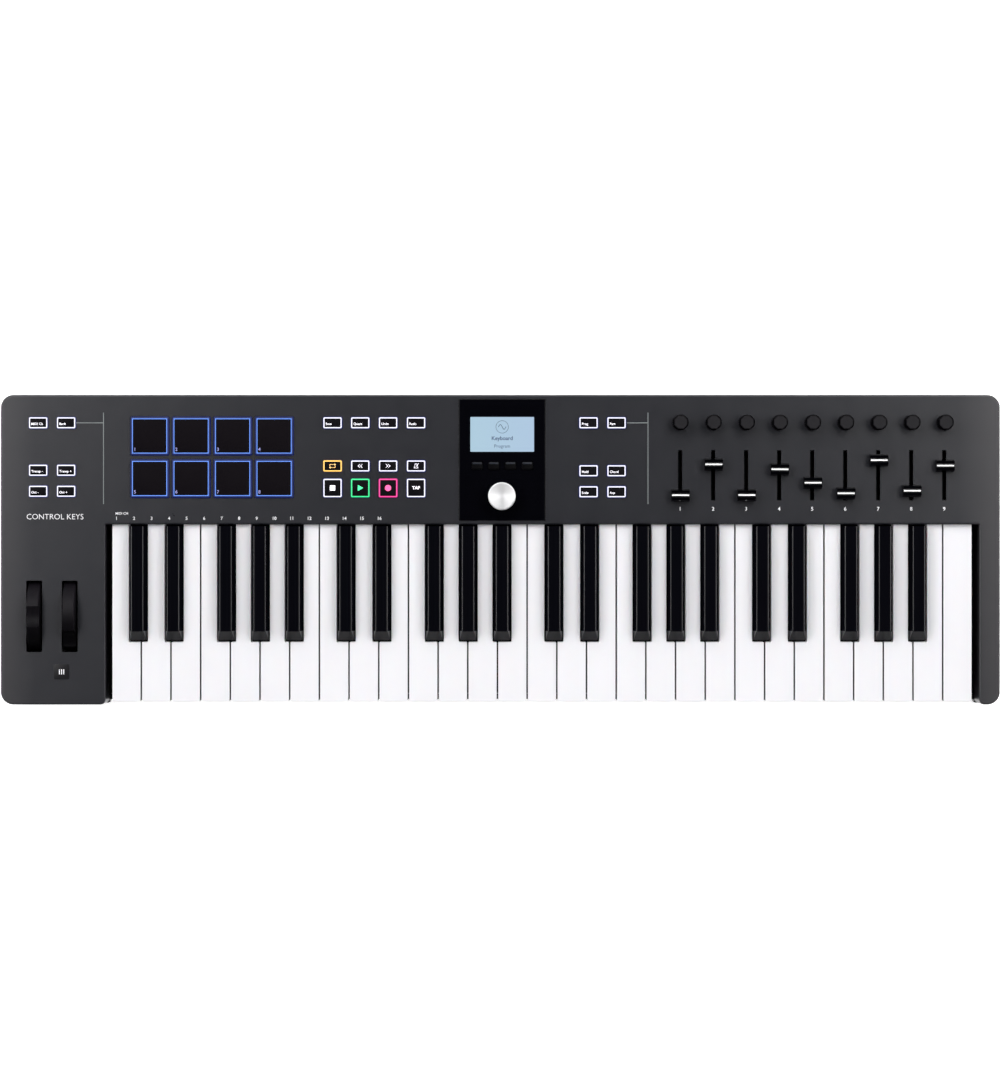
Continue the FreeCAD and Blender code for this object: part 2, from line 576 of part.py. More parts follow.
def fader_cap(i):
    """Fader cap with a raised ridge at each end and a stem into its track."""
    x, y = STRIP_X[i], FADER_Y + FADER_SET[i]
    w, d = FADER_CAP
    x0, x1 = x - w / 2, x + w / 2
    half = d / 2
    profile = [(y - half, PANEL_Z + 0.8), (y + half, PANEL_Z + 0.8), (y + half, 58.2),
               (y + half - 1.0, 61.6), (y + 1.5, 61.6), (y + 0.9, 60.6), (y - 0.9, 60.6),
               (y - 1.5, 61.6), (y - half + 1.0, 61.6), (y - half, 58.2)]
    cap = side_profile(profile, x0, x1)
    uprights = [e for e in cap.Edges if abs(e.BoundBox.XLength) < 1e-6 and e.BoundBox.ZMin > 58
                and e.BoundBox.ZLength > 3]
    cap = cap.makeFillet(0.5, uprights)
    return join([cap, box(x - 0.6, x + 0.6, y - 2.2, y + 2.2, BOARD_Z1 + 3.2, PANEL_Z + 1.2)])


def slide_pot(i):
    """Slide potentiometer: an open channel on the board for the fader's stem."""
    x = STRIP_X[i]
    body = box(x - 4.5, x + 4.5, FADER_Y - 23, FADER_Y + 23, BOARD_Z1, 48.4)
    channel = box(x - 1.3, x + 1.3, FADER_Y - 19, FADER_Y + 19, BOARD_Z1 + 2.5, 49)
    return only_solid(body.cut(channel))


def wheel_pot(name):
    """Small rotary sensor on the outer ear of a wheel's cradle."""
    x = WHEELS[name][0] - EAR_OUT
    body = box(x - 3.6, x, WHEEL_Y - 6, WHEEL_Y + 6, WHEEL_AXIS_Z - 6, WHEEL_AXIS_Z + 6)
    return only_solid(body.cut(bar_x(x - 1.5, x + 1, WHEEL_Y, WHEEL_AXIS_Z, AXLE_R + 0.4)))


def encoder(x, y, top_z):
    """Rotary encoder: square body on the board and a bushing round the shaft."""
    body = box(x - 6, x + 6, y - 6, y + 6, BOARD_Z1, 45.5)
    bushing = post(x, y, 4.4, 45, top_z)
    room = post(x, y, SHAFT_R + 1.6, BOARD_Z1 + 1.0, BOARD_Z1 + 4.2)
    bore = post(x, y, SHAFT_R + SHAFT_FIT, BOARD_Z1 + 1.0, PANEL_Z)
    return only_solid(join([body, bushing]).cut([bore, room]))


# ---------------------------------------------------------------- display and electronics
def display_bezel():
    width, y0, y1 = BEZEL
    gap = 2 * PANEL_GAP
    face = plate(DISPLAY_X, (y0 + y1) / 2, width, y1 - y0, 0.6, BEZEL_Z0, BEZEL_Z1)
    face = soften(face, BEZEL_Z1, 0.3)
    cuts = [plate(DISPLAY_X, LCD_Y, *LCD, 0.8, BEZEL_Z0 - 1, BEZEL_Z1 + 1),
            post(MAIN_X, MAIN_Y, SHAFT_R + 1, BEZEL_Z0 - 1, BEZEL_Z1 + 1)]
    w, d = SCREEN_BUTTON
    cuts += [plate(x, SCREEN_Y, w + gap, d + gap, 1.6, BEZEL_Z0 - 1, BEZEL_Z1 + 1) for x in SCREEN_X]
    return only_solid(face.cut(cuts))


def lcd_module():
    """Screen glass in the window, on its frame under the bezel."""
    glass = plate(DISPLAY_X, LCD_Y, LCD[0] - 0.2, LCD[1] - 0.2, 0.6, BEZEL_Z0 - 0.4, BEZEL_Z1 - 0.4)
    frame = plate(DISPLAY_X, LCD_Y, LCD[0] + 5, LCD[1] + 5, 0.8, BOARD_Z1, BEZEL_Z0)
    return join([glass, frame])


def switches(spots):
    return [box(x - SWITCH_HALF, x + SWITCH_HALF, y - SWITCH_HALF, y + SWITCH_HALF,
                BOARD_Z0 + 0.5, SWITCH_TOP_Z) for x, y, _ in spots]


def circuit_boards():
    """Panel boards with their switches, the pad sensor board and the socket board."""
    groups, boards = button_spots(), []
    holes = [post(x, y, PILOT_R + 0.2, BOARD_Z0 - 1, BOARD_Z1 + 1) for x, y in BOARD_SCREWS]
    for x0, x1, names in PANEL_BOARDS:
        board = [box(x0, x1, *PANEL_BOARD_Y, BOARD_Z0, BOARD_Z1)]
        for name in names:
            board += switches(groups[name])
        boards.append(only_solid(join(board).cut(holes)))
    half, pad_z0 = PAD / 2, PAD_BOARD_Z1 - BOARD_T
    pad_board = [box(PAD_X[0] - half - 4, PAD_X[-1] + half + 4, PAD_Y[-1] - half - 4,
                     PAD_Y[0] + half + 4, pad_z0, PAD_BOARD_Z1)]
    pad_board += [box(x - 3, x + 3, 66, 80, BOARD_Z1, pad_z0 + 0.2) for x in PAD_BOARD_STANDS]
    boards.append(join(pad_board))
    boards.append(box(USB_X - 14, JACK_X + 14, *SOCKET_BOARD_Y,
                      SOCKET_BOARD_Z0, SOCKET_BOARD_Z0 + BOARD_T))
    return boards


def rear_sockets():
    """USB-C, five-pin MIDI and pedal jack sockets on the socket board."""
    board_z = SOCKET_BOARD_Z0 + BOARD_T
    wall_y = CASE_REAR - WALL
    usb = plate(USB_X, 117.2, 9.0, 8.6, 0.4, board_z, USB_Z + 1.6)
    tongue = box(USB_X - 3.4, USB_X + 3.4, 114, 120.5, USB_Z - 0.35, USB_Z + 0.35)
    usb = join([usb.cut(box(USB_X - 4.2, USB_X + 4.2, 115, 123, USB_Z - 1.2, USB_Z + 1.2)), tongue])
    midi = box(MIDI_X - 10, MIDI_X + 10, 104, wall_y - 0.2, board_z, SOCKET_TOP_Z)
    midi = join([midi, bar_y(MIDI_X, wall_y - 1, CASE_REAR - 0.2, SOCKET_Z, MIDI_R + 1.1)])
    midi = midi.cut(bar_y(MIDI_X, wall_y - 7, CASE_REAR + 1, SOCKET_Z, MIDI_R))
    for step in MIDI_PIN_ANGLES:
        angle = math.radians(step - 90)
        x, z = MIDI_X + 4.4 * math.cos(angle), SOCKET_Z - 4.4 * math.sin(angle)
        midi = midi.cut(bar_y(x, wall_y - 13, wall_y, z, 0.7))
    jack = box(JACK_X - 8, JACK_X + 8, 90, wall_y - 0.2, board_z, SOCKET_TOP_Z)
    jack = join([jack, bar_y(JACK_X, wall_y - 1, CASE_REAR - 0.2, SOCKET_Z, 5.6)])
    jack = jack.cut(bar_y(JACK_X, CASE_REAR - 28, CASE_REAR + 1, SOCKET_Z, JACK_R))
    return [only_solid(usb), only_solid(midi), only_solid(jack)]


# ---------------------------------------------------------------- small parts
def foot(x, y):
    disc = post(x, y, FOOT_R, 0, FOOT_H)
    return soften(disc, 0, 0.6)


def screw(x, y, head_z, tip_z):
    """Screw driven upwards, its head below with a cross recess."""
    head = post(x, y, SCREW_HEAD_R, head_z, head_z + SCREW_HEAD_H)
    shank = post(x, y, SCREW_R, head_z + SCREW_HEAD_H - 0.2, tip_z)
    cross = [box(x - 1.6, x + 1.6, y - 0.35, y + 0.35, head_z - 1, head_z + 0.8),
             box(x - 0.35, x + 0.35, y - 1.6, y + 1.6, head_z - 1, head_z + 0.8)]
    return only_solid(join([head, shank]).cut(cross))


def screws():
    """Casing, chassis and board screws."""
    group = [screw(x, y, FOOT_H + 0.2, 30) for x, y in CASE_SCREWS]
    group += [screw(x, y, FOOT_H + 0.2, CHASSIS_Z1) for x, y in CHASSIS_SCREWS]
    group += [screw(x, y, BOARD_Z0 - SCREW_HEAD_H, 46) for x, y in BOARD_SCREWS]
    return group


def build():
    os.makedirs("parts", exist_ok=True)
    save("bottom_casing", [bottom_casing()])
    save("top_casing", [top_casing()])
    save("display_bezel", [display_bezel()])
    save("lcd_module", [lcd_module()])
    save("circuit_boards", circuit_boards())
    save("rear_sockets", rear_sockets())
    save("potentiometers", [slide_pot(i) for i in range(9)] + [wheel_pot(n) for n in WHEELS])
    save("rotary_encoders", [encoder(x, KNOB_Y, PANEL_UNDER_Z) for x in STRIP_X]
         + [encoder(MAIN_X, MAIN_Y, PANEL_UNDER_Z)])
    save("keybed_chassis", [keybed_chassis()])
    save("key_contact_strip", [contact_strip()])
    save("return_springs", [leaf_spring(x) for x in key_centres()] + [wheel_spring()])
    save("rubber_feet", [foot(x, y) for x, y in FOOT_SPOTS])
    save("screws", screws())
    for name in list(WHITE_NOTES) + list(BLACK_NOTES):
        save(name, key_group(name))
    for name in WHEELS:
        save(name, [wheel(name)])
    for number in range(9):
        save("fader_cap_%d" % (number + 1), [fader_cap(number)])
        save("encoder_knob_%d" % (number + 1), [knob(STRIP_X[number])])
    save("main_encoder_shaft", [main_shaft()])
    save("main_encoder_knob", [main_knob()])
    for row, y in enumerate(PAD_Y):
        for column, x in enumerate(PAD_X):
            save("pad_%d" % (4 * row + column + 1), [pad(x, y)])
    for name, spots in button_spots().items():
        save(name, [button(x, y, size) for x, y, size in spots])


build()
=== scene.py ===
import json
import math

import bmesh
import bpy
from mathutils import Matrix, Vector


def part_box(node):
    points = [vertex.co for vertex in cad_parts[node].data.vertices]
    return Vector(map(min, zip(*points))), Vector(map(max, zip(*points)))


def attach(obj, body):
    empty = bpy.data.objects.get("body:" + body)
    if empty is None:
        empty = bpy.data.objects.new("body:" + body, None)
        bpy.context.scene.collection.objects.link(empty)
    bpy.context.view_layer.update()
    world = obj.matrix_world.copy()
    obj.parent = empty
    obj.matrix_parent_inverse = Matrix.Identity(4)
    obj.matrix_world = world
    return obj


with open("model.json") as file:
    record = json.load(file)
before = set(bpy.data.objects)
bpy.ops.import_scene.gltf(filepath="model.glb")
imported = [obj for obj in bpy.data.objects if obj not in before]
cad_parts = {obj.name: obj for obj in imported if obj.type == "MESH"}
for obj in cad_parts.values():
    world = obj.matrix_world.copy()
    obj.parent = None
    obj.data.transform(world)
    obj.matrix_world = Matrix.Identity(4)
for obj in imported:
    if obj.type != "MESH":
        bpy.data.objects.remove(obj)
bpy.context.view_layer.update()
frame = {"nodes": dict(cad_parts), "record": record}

# ------------------------------------------------------------------ pieces, from the frame
MM = 0.001
NODES = frame["nodes"]
PADS = ["pad_%d" % n for n in range(1, 9)]
FADERS = ["fader_cap_%d" % n for n in range(1, 10)]
KNOBS = ["encoder_knob_%d" % n for n in range(1, 10)]
BUTTON_GROUPS = ["left_buttons", "command_buttons", "transport_buttons", "right_buttons"]


def middle(node):
    low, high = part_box(node)
    return (low + high) / 2


def pitch(nodes):
    """Distance along X from one of a row of evenly spaced pieces to the next."""
    return (middle(nodes[-1]).x - middle(nodes[0]).x) / (len(nodes) - 1)


def spot(low, high):
    """X and Y of the middle of a box."""
    return (low.x + high.x) / 2, (low.y + high.y) / 2


def islands(node):
    """Lowest and highest corner of every separate solid in a node, rear row first, left to right."""
    bm = bmesh.new()
    bm.from_mesh(NODES[node].data)
    bmesh.ops.remove_doubles(bm, verts=bm.verts, dist=0.005 * MM)
    left, found = set(bm.verts), []
    while left:
        start = left.pop()
        todo, low, high = [start], start.co.copy(), start.co.copy()
        while todo:
            vert = todo.pop()
            for axis in range(3):
                low[axis] = min(low[axis], vert.co[axis])
                high[axis] = max(high[axis], vert.co[axis])
            for edge in vert.link_edges:
                other = edge.other_vert(vert)
                if other in left:
                    left.remove(other)
                    todo.append(other)
        found.append((low, high))
    bm.free()
    return sorted(found, key=lambda box: (-round((box[0].y + box[1].y) / (4 * MM)), box[0].x))


# ------------------------------------------------------------------ sizes and places
PANEL_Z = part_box("display_bezel")[1].z - 0.6 * MM
CASE_LOW, CASE_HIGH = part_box("top_casing")

# White keys.
KEY_PITCH = 23.5 * MM
KEY_HALF_GAP = 0.5 * MM
KEY_TOP_Z = 47.0 * MM
FIRST_KEY_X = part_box("keys_c")[0].x

# Middle of the fader slots, half the width and length of the painted shadow band round them, and the line
# across a fader cap.
SLOT_Y = 58.9 * MM
SLOT_SHADOW_HALF_SIZE = (1.65 * MM, 19.9 * MM)
FADER_LINE = (13.5 * MM, 1.25 * MM)

# A button's box is wider than what shows of it by its two hidden lips. Its black cap leaves a lit
# rim free, stands a little proud of the silicone and reaches down into it.
BUTTON_LIPS = 1.6 * MM
BUTTON_RIM = 1.2 * MM
BUTTON_LIT_Z = PANEL_Z + 1.32 * MM
CAP_LIFT = 0.12 * MM
CAP_SINK = 0.3 * MM

# A pad is lit above this height and inside this distance, and its black face lies on top.
PAD_LIT_Z = PANEL_Z + 0.6 * MM
PAD_LIT_HALF = 13.85 * MM
PAD_FACE = 26.45 * MM
PAD_FACE_LIFT = 0.2 * MM

# Print is a thin solid just above its surface. Where two strokes cross, one is raised by OVERLAP.
PRINT_T = 0.06 * MM
PRINT_LIFT = 0.015 * MM
OVERLAP = 0.01 * MM
FADER_NUMBER_Y = 32.2 * MM
CHANNEL_X = FIRST_KEY_X + 3.9 * MM
CHANNEL_Y = 24.7 * MM
CHANNEL_PITCH = 13.85 * MM
RULE_X = {"left_buttons": (-335.2 * MM, -313.7 * MM), "right_buttons": (99.7 * MM, 116.7 * MM)}
RULE_Y = (36.1 * MM, 108.4 * MM)
RULE_HALF = 0.3 * MM
STICKER_AT = (-346.8 * MM, -96.5 * MM)
STICKER_SIZE = 12.0 * MM
STICKER_T = 0.12 * MM


# ------------------------------------------------------------------ node helpers
class Nodes:
    """A short way to write the node tree of a new material or world."""

    def __init__(self, name, library="materials", shader="Principled BSDF"):
        self.owner = getattr(bpy.data, library).new(name)
        self.owner.use_nodes = True
        self.tree = self.owner.node_tree
        self.shader = self.tree.nodes[shader]

    def add(self, kind, settings=None, **inputs):
        node = self.tree.nodes.new("ShaderNode" + kind)
        for key, value in (settings or {}).items():
            setattr(node, key, value)
        for key, value in inputs.items():
            self.put(node, key.replace("_", " "), value)
        return node

    def put(self, node, socket, value):
        target = node.inputs[int(socket) if socket.strip().isdigit() else socket]
        if isinstance(value, bpy.types.NodeSocket):
            self.tree.links.new(value, target)
        else:
            target.default_value = value

    def set(self, **inputs):
        for key, value in inputs.items():
            self.put(self.shader, key.replace("_", " "), value)

    def math(self, operation, *values):
        node = self.add("Math", {"operation": operation})
        for number, value in enumerate(values):
            self.put(node, str(number), value)
        return node.outputs[0]

    def place(self):
        """X, Y and Z of the point, where the piece stands at rest."""
        return self.add("SeparateXYZ", Vector=self.add("TexCoord").outputs["Object"]).outputs

    def away(self, value, centre):
        """Distance from one place."""
        return self.math("ABSOLUTE", self.math("SUBTRACT", value, centre))

    def nearest(self, value, first, spacing):
        """Distance from the nearest of evenly spaced places."""
        return self.math("PINGPONG", self.math("SUBTRACT", value, first), spacing / 2)

    def noise(self, scale, detail=3.0, stretch=None):
        place = self.add("TexCoord").outputs["Object"]
        if stretch:
            place = self.add("Mapping", Vector=place, Scale=stretch).outputs[0]
        return self.add("TexNoise", Vector=place, Scale=scale, Detail=detail).outputs["Fac"]

    def blend(self, fac, a, b):
        mix = self.add("Mix", {"data_type": "RGBA"})
        self.put(mix, "0", fac)
        self.put(mix, "6", a)
        self.put(mix, "7", b)
        return mix.outputs[2]

    def spread(self, fac, low, high):
        """Map a 0 to 1 value onto low to high."""
        return self.add("MapRange", Value=fac, To_Min=low, To_Max=high).outputs[0]

    def step(self, value, edge, soft):
        """0 below the edge and 1 above it, over a soft width."""
        return self.add("MapRange", Value=value, From_Min=edge - soft, From_Max=edge + soft).outputs[0]

    def bump(self, height, strength, distance):
        self.set(Normal=self.add("Bump", Height=height, Strength=strength, Distance=distance).outputs[0])


def rgba(colour):
    return (*colour, 1.0)


def grey(level):
    return (level, level, level, 1.0)


def shade(colour, factor):
    return tuple(channel * factor for channel in colour)


# ------------------------------------------------------------------ materials
def moulded(name, colour, rough, grain=2600.0, depth=0.05, variation=0.12, specular=0.5):
    """Moulded plastic or rubber: fine grain, slow tone changes and uneven gloss."""
    n = Nodes(name)
    slow, fine = n.noise(9.0, 4.0), n.noise(grain, 2.0)
    tone = n.blend(slow, rgba(shade(colour, 1 - variation)), rgba(shade(colour, 1 + variation)))
    n.set(Base_Color=n.blend(n.spread(fine, 0.0, 0.35), tone, rgba(shade(colour, 1.35))),
          Roughness=n.spread(n.noise(60.0, 5.0), rough - 0.05, rough + 0.05),
          Specular_IOR_Level=specular)
    n.bump(fine, 0.5, depth * MM)
    return n.owner


def white_key_plastic():
    """Satin white, slightly translucent, with painted shade on the sides down in the gaps between
    neighbouring keys and a faint painted glow.
    """
    n = Nodes("white_key_plastic")
    x, _, z = n.place()
    beside = n.nearest(x, FIRST_KEY_X - KEY_HALF_GAP, KEY_PITCH)
    gap = n.math("LESS_THAN", beside, KEY_HALF_GAP + 0.3 * MM)
    top = n.step(z, KEY_TOP_Z - 0.14 * MM, 0.06 * MM)
    # Painted shade: the key sides below the top are painted near black in the gaps between keys.
    deep = n.math("MULTIPLY", gap, n.math("SUBTRACT", 1.0, top))
    tone = n.blend(n.noise(14.0, 3.0), (0.84, 0.835, 0.86, 1), (0.88, 0.876, 0.90, 1))
    tone = n.blend(deep, tone, (0.020, 0.018, 0.024, 1))
    # The emission is a faint painted glow that brightens the keys.
    n.set(Base_Color=tone, Roughness=n.spread(n.noise(180.0, 4.0), 0.26, 0.36), Specular_IOR_Level=0.4,
          Subsurface_Weight=0.05, Subsurface_Scale=1.5 * MM,
          Emission_Color=tone, Emission_Strength=0.03)
    n.bump(n.noise(900.0, 2.0, (1.0, 0.12, 1.0)), 0.25, 0.01 * MM)
    return n.owner


def casing_plastic():
    """Charcoal plastic with a painted highlight, paler where the two ends roll over, and a painted shadow,
    black round the fader slots.
    """
    n = Nodes("casing_plastic")
    x, y, _ = n.place()
    half = (CASE_HIGH.x - CASE_LOW.x) / 2
    # Painted highlight: the plastic is painted paler towards the two ends.
    ends = n.step(n.away(x, CASE_LOW.x + half - 3 * MM), half - 14 * MM, 16 * MM)
    fine = n.noise(2600.0, 2.0)
    tone = n.blend(n.noise(9.0, 4.0), (0.0162, 0.0168, 0.0204, 1), (0.0200, 0.0206, 0.0246, 1))
    tone = n.blend(n.spread(fine, 0.0, 0.35), tone, (0.0240, 0.0240, 0.0288, 1))
    tone = n.blend(ends, tone, (0.0450, 0.0436, 0.0468, 1))
    # Painted shadow: a black band, a little wider than each fader slot, is painted round the slots.
    first, spacing = middle(FADERS[0]).x, pitch(FADERS)
    slot = n.math("LESS_THAN", n.nearest(x, first, spacing), SLOT_SHADOW_HALF_SIZE[0])
    for distance, limit in ((n.away(y, SLOT_Y), SLOT_SHADOW_HALF_SIZE[1]),
                            (n.away(x, first + 4 * spacing), 4.5 * spacing)):
        slot = n.math("MULTIPLY", slot, n.math("LESS_THAN", distance, limit))
    n.set(Base_Color=n.blend(slot, tone, (0.0012, 0.0012, 0.0016, 1)),
          Roughness=n.spread(n.noise(60.0, 5.0), 0.25, 0.35),
          Specular_IOR_Level=n.spread(slot, 0.40, 0.03))
    n.bump(fine, 0.5, 0.05 * MM)
    return n.owner


def black_key_plastic():
    """Gloss black on top, dull down the sides, satin on the sloping front."""
    n = Nodes("black_key_plastic")
    low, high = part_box("keys_c_sharp")
    _, y, z = n.place()
    top = n.step(z, high.z - 0.7 * MM, 0.10 * MM)
    back = n.step(y, low.y + 7.4 * MM, 0.2 * MM)
    gloss = n.spread(n.noise(240.0, 4.0), 0.045, 0.075)
    n.set(Base_Color=n.blend(n.noise(20.0), (0.0020, 0.0020, 0.0034, 1), (0.0032, 0.0032, 0.0050, 1)),
          Roughness=n.blend(back, grey(0.34), n.blend(top, grey(0.30), gloss)),
          Specular_IOR_Level=n.blend(back, (0.16, 0.16, 0.17, 1), n.blend(top, grey(0.0), grey(0.55))))
    n.bump(n.noise(1400.0, 2.0, (1.0, 0.15, 1.0)), 0.3, 0.008 * MM)
    return n.owner


def rubber(name, painted_light_mask, black, tone_low, tone_high, rough, specular):
    """Black rubber painted paler where light falls, as painted light, and painted dark as shade elsewhere;
    the lit part is a function of the node tree.
    """
    n = Nodes(name)
    painted_light = painted_light_mask(n)
    fine = n.noise(3000.0, 2.0)
    tone = n.blend(n.noise(40.0, 4.0), rgba(tone_low), rgba(tone_high))
    n.set(Base_Color=n.blend(painted_light, rgba(black), tone),
          Roughness=n.spread(n.noise(60.0, 5.0), *rough), Specular_IOR_Level=n.spread(painted_light, *specular))
    n.bump(fine, 0.5, 0.05 * MM)
    return n.owner


def wheel_rear(n):
    """The rear of the wheels, painted paler as painted light where the lamps behind fall on it."""
    return n.step(n.place()[1], middle("pitch_wheel").y - 2 * MM, 14 * MM)


def knob_top(n):
    """The eight-sided flat top of each small knob, painted paler as painted light; its sides are painted dark
    as shade.
    """
    x, y, z = n.place()
    across = n.nearest(x, middle(KNOBS[0]).x, pitch(KNOBS))
    along = n.away(y, middle(KNOBS[0]).y)
    square = n.math("MAXIMUM", across, along)
    slant = n.math("MULTIPLY", n.math("ADD", across, along), math.sqrt(0.5))
    outside = n.step(n.math("MAXIMUM", square, slant), 4.85 * MM, 0.45 * MM)
    high = n.step(z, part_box(KNOBS[0])[1].z - 0.5 * MM, 0.05 * MM)
    return n.math("SUBTRACT", high, outside)


def bezel_gloss():
    n = Nodes("bezel_gloss")
    n.set(Base_Color=n.blend(n.noise(12.0), (0.0012, 0.0012, 0.0022, 1), (0.0018, 0.0018, 0.003, 1)),
          Roughness=n.spread(n.noise(300.0, 5.0), 0.05, 0.11), Specular_IOR_Level=0.5)
    return n.owner


def lcd_screen():
    """Pale blue backlit screen: pixel grid, brighter top edge and a darker frame round it."""
    n = Nodes("lcd_glass")
    low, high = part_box("lcd_module")
    x, y, z = n.place()
    pixel = 0.4 * MM
    lines = [n.step(n.math("PINGPONG", value, pixel / 2), pixel * 0.06, pixel * 0.03) for value in (x, y)]
    grid = n.math("MULTIPLY", *lines)
    across = n.step(x, (low.x + high.x) / 2, (high.x - low.x) / 2)
    tone = n.blend(across, (0.435, 0.62, 0.74, 1), (0.43, 0.565, 0.76, 1))
    tone = n.blend(n.spread(n.noise(60.0), 0.0, 0.4), tone, (0.47, 0.64, 0.73, 1))
    tone = n.blend(n.step(y, high.y - 1.7 * MM, 0.25 * MM), tone, (0.60, 0.76, 0.84, 1))
    tone = n.blend(grid, n.blend(0.10, tone, (0.2, 0.3, 0.4, 1)), tone)
    face = n.step(z, high.z - 0.3 * MM, 0.05 * MM)
    n.set(Base_Color=n.blend(face, grey(0.02), (0.05, 0.07, 0.09, 1)), Roughness=0.16,
          Emission_Color=n.blend(face, grey(0.0), tone), Emission_Strength=0.87)
    return n.owner


def lit_silicone(name, top, side, edge_z, strength, half=None):
    """Translucent silicone lit from inside: bright on top, deep in colour down its sides.

    half keeps the bright part of each pad within that distance of the pad's centre.
    """
    n = Nodes(name)
    x, y, z = n.place()
    up = n.step(z, edge_z, 0.12 * MM)
    if half:
        first, beside, behind = middle("pad_5"), middle("pad_6"), middle("pad_1")
        outside = n.math("MAXIMUM", n.nearest(x, first.x, beside.x - first.x),
                         n.nearest(y, first.y, behind.y - first.y))
        up = n.math("SUBTRACT", up, n.step(outside, half, 0.12 * MM))
    glow = n.blend(n.spread(n.noise(160.0), 0.0, 1.0), rgba(shade(top, 0.90)), rgba(shade(top, 1.04)))
    n.set(Base_Color=n.blend(up, rgba(shade(side, 0.4)), rgba(shade(top, 0.5))), Roughness=0.5,
          Emission_Color=n.blend(up, rgba(side), glow), Emission_Strength=strength)
    n.bump(n.noise(1800.0, 2.0), 0.3, 0.02 * MM)
    return n.owner


def turned_aluminium():
    """Lathe-turned aluminium: fine rings round the knob and a stretched highlight."""
    n = Nodes("knob_aluminium")
    centre = middle("main_encoder_knob")
    place = n.add("Mapping", Vector=n.add("TexCoord").outputs["Object"], Location=(-centre.x, -centre.y, 0.0))
    x, y, _ = n.add("SeparateXYZ", Vector=place.outputs[0]).outputs
    flat = n.add("CombineXYZ", X=x, Y=y).outputs[0]
    radius = n.add("VectorMath", {"operation": "LENGTH"}, _0=flat).outputs["Value"]
    rings = n.add("TexNoise", {"noise_dimensions": "1D"}, W=radius, Scale=16000.0, Detail=2.0).outputs[0]
    tangent = n.add("Tangent", {"direction_type": "RADIAL", "axis": "Z"}).outputs[0]
    n.set(Base_Color=n.blend(rings, (0.86, 0.865, 0.87, 1), (0.96, 0.96, 0.965, 1)), Metallic=0.8,
          Roughness=n.spread(rings, 0.40, 0.48), Anisotropic=0.85,
          Anisotropic_Rotation=0.25, Tangent=tangent)
    n.bump(rings, 0.35, 0.012 * MM)
    return n.owner


def pot_case():
    """Plated cans of the potentiometers, painted black in a band under each fader slot as painted shade seen
    through the slot.
    """
    n = Nodes("pot_metal")
    can = n.step(n.nearest(n.place()[0], middle(FADERS[0]).x, pitch(FADERS)), 3.4 * MM, 0.1 * MM)
    brushed = n.noise(500.0, 3.0, (1.0, 8.0, 1.0))
    plate = n.blend(brushed, grey(0.4), grey(0.55))
    # Painted shade: the cans are black near each fader slot.
    n.set(Base_Color=n.blend(can, (0.0012, 0.0012, 0.0014, 1), plate),
          Metallic=can, Roughness=n.spread(brushed, 0.30, 0.42), Specular_IOR_Level=0.1)
    n.bump(brushed, 0.2, 0.01 * MM)
    return n.owner


def steel(name, tone, rough):
    n = Nodes(name)
    brushed = n.noise(500.0, 3.0, (1.0, 8.0, 1.0))
    n.set(Base_Color=n.blend(brushed, grey(tone * 0.85), grey(tone)), Metallic=1.0,
          Roughness=n.spread(brushed, rough - 0.06, rough + 0.06))
    n.bump(brushed, 0.2, 0.01 * MM)
    return n.owner


def board_material():
    """Green solder mask with copper tracks just under it."""
    n = Nodes("board")
    place = n.add("TexCoord").outputs["Object"]
    cells = n.add("TexBrick", Vector=place, Scale=90.0, Mortar_Size=0.03)
    tracks = n.spread(cells.outputs["Fac"], 0.0, 0.8)
    n.set(Base_Color=n.blend(tracks, (0.008, 0.10, 0.035, 1), (0.02, 0.19, 0.07, 1)), Roughness=0.35)
    n.bump(tracks, 0.3, 0.03 * MM)
    return n.owner


def ink(name, colour, glow=0.0):
    """Screen-printed ink, a little uneven, that may glow: lit from below on the buttons and pads, a painted
    glow on the panel print, sticker sign and fader lines.
    """
    n = Nodes(name)
    tone = n.blend(n.noise(700.0, 2.0), rgba(shade(colour, 0.9)), rgba(colour))
    n.set(Base_Color=tone, Roughness=0.5)
    if glow:
        n.set(Emission_Color=tone, Emission_Strength=glow)
    return n.owner


WHITE_GLOW = (0.88, 0.88, 1.0)
DEEP_BLUE = (0.006, 0.012, 0.095)
PAD_BLUE = (0.095, 0.235, 0.76)
PAD_DEEP_BLUE = (0.002, 0.008, 0.075)

